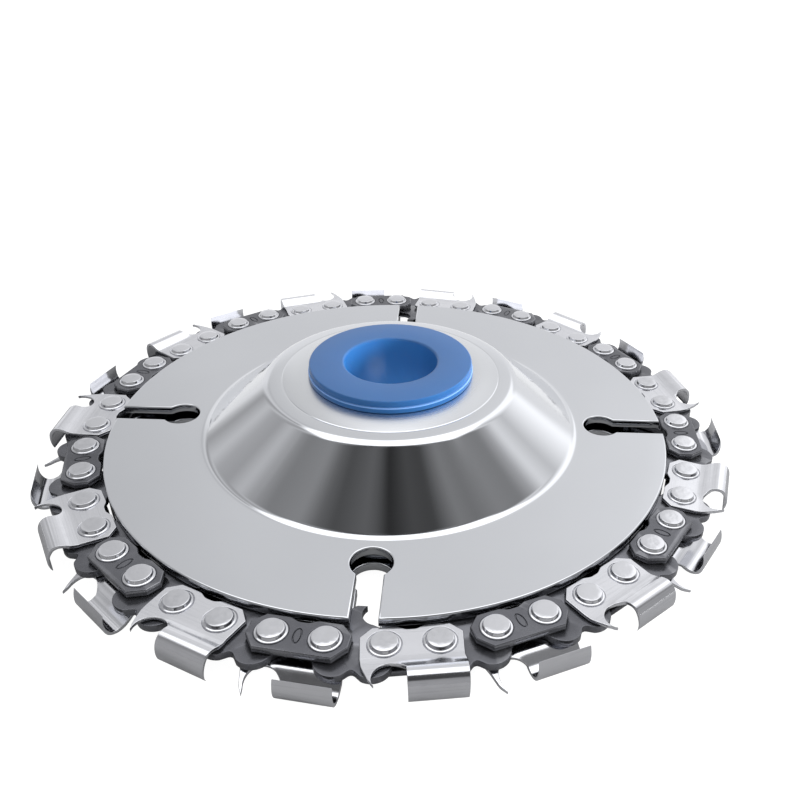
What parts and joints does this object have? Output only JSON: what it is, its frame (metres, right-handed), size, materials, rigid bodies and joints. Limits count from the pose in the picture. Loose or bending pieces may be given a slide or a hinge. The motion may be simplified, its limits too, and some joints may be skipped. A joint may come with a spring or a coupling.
{
  "type": "angle grinder carving disc",
  "caption": "Dished steel disc pair for an angle grinder that grips a loop of saw chain at its rim, with a blue flanged bushing in the centre bore.",
  "frame": {"origin": "on the disc's axis, in the plane that the lowest rivet heads stand on", "axes": "+Z along the spindle axis from the recessed face towards the raised hub and bushing flange; +X and +Y along two of the four keyhole slots"},
  "size_m": [0.1012, 0.1016, 0.0144],
  "materials": {
    "polished_steel": "polished sheet steel, faintly grained",
    "nickel_plated_steel": "bright nickel plate",
    "black_oxide_steel": "satin black oxide",
    "blue_nylon": "moulded satin nylon"
  },
  "bodies": {
    "upper_disc": {"upper_disc": "polished_steel"},
    "lower_disc": {"lower_disc": "polished_steel"},
    "bushing_upper": {"bushing_upper": "blue_nylon"},
    "bushing_lower": {"bushing_lower": "blue_nylon"},
    "chain": {"drive_link_01": "black_oxide_steel", "drive_link_02": "black_oxide_steel", "drive_link_03": "black_oxide_steel", "drive_link_04": "black_oxide_steel", "drive_link_05": "black_oxide_steel", "drive_link_06": "black_oxide_steel", "drive_link_07": "black_oxide_steel", "drive_link_08": "black_oxide_steel", "drive_link_09": "black_oxide_steel", "drive_link_10": "black_oxide_steel", "drive_link_11": "black_oxide_steel", "drive_link_12": "black_oxide_steel", "drive_link_13": "black_oxide_steel", "drive_link_14": "black_oxide_steel", "drive_link_15": "black_oxide_steel", "drive_link_16": "black_oxide_steel", "drive_link_17": "black_oxide_steel", "drive_link_18": "black_oxide_steel", "drive_link_19": "black_oxide_steel", "drive_link_20": "black_oxide_steel", "drive_link_21": "black_oxide_steel", "drive_link_22": "black_oxide_steel", "cutter_upper_01": "nickel_plated_steel", "cutter_upper_02": "nickel_plated_steel", "cutter_upper_03": "nickel_plated_steel", "cutter_upper_04": "nickel_plated_steel", "cutter_upper_05": "nickel_plated_steel", "cutter_upper_06": "nickel_plated_steel", "cutter_upper_07": "nickel_plated_steel", "cutter_upper_08": "nickel_plated_steel", "cutter_upper_09": "nickel_plated_steel", "cutter_upper_10": "nickel_plated_steel", "cutter_upper_11": "nickel_plated_steel", "preset_strap_01": "black_oxide_steel", "preset_strap_02": "black_oxide_steel", "preset_strap_03": "black_oxide_steel", "preset_strap_04": "black_oxide_steel", "preset_strap_05": "black_oxide_steel", "preset_strap_06": "black_oxide_steel", "preset_strap_07": "black_oxide_steel", "preset_strap_08": "black_oxide_steel", "preset_strap_09": "black_oxide_steel", "preset_strap_10": "black_oxide_steel", "preset_strap_11": "black_oxide_steel", "riveted_link_01": "black_oxide_steel", "riveted_link_02": "black_oxide_steel", "riveted_link_03": "black_oxide_steel", "riveted_link_04": "black_oxide_steel", "riveted_link_05": "black_oxide_steel", "riveted_link_06": "black_oxide_steel", "riveted_link_07": "black_oxide_steel", "riveted_link_08": "black_oxide_steel", "riveted_link_09": "black_oxide_steel", "riveted_link_10": "black_oxide_steel", "riveted_link_11": "black_oxide_steel"}
  },
  "joints": [
    {"name": "chain_slip", "type": "hinge", "parent": "upper_disc", "child": "chain", "pos_m": [0, 0, 0.002], "axis": [0, 0, 1], "continuous": true},
    {"name": "lower_disc_release", "type": "slide", "parent": "upper_disc", "child": "lower_disc", "axis": [0, 0, -1], "range_m": [0, 0.02]},
    {"name": "lower_bushing_release", "type": "slide", "parent": "lower_disc", "child": "bushing_lower", "axis": [0, 0, -1], "range_m": [0, 0.01]},
    {"name": "upper_bushing_release", "type": "slide", "parent": "upper_disc", "child": "bushing_upper", "axis": [0, 0, 1], "range_m": [0, 0.012]}
  ]
}
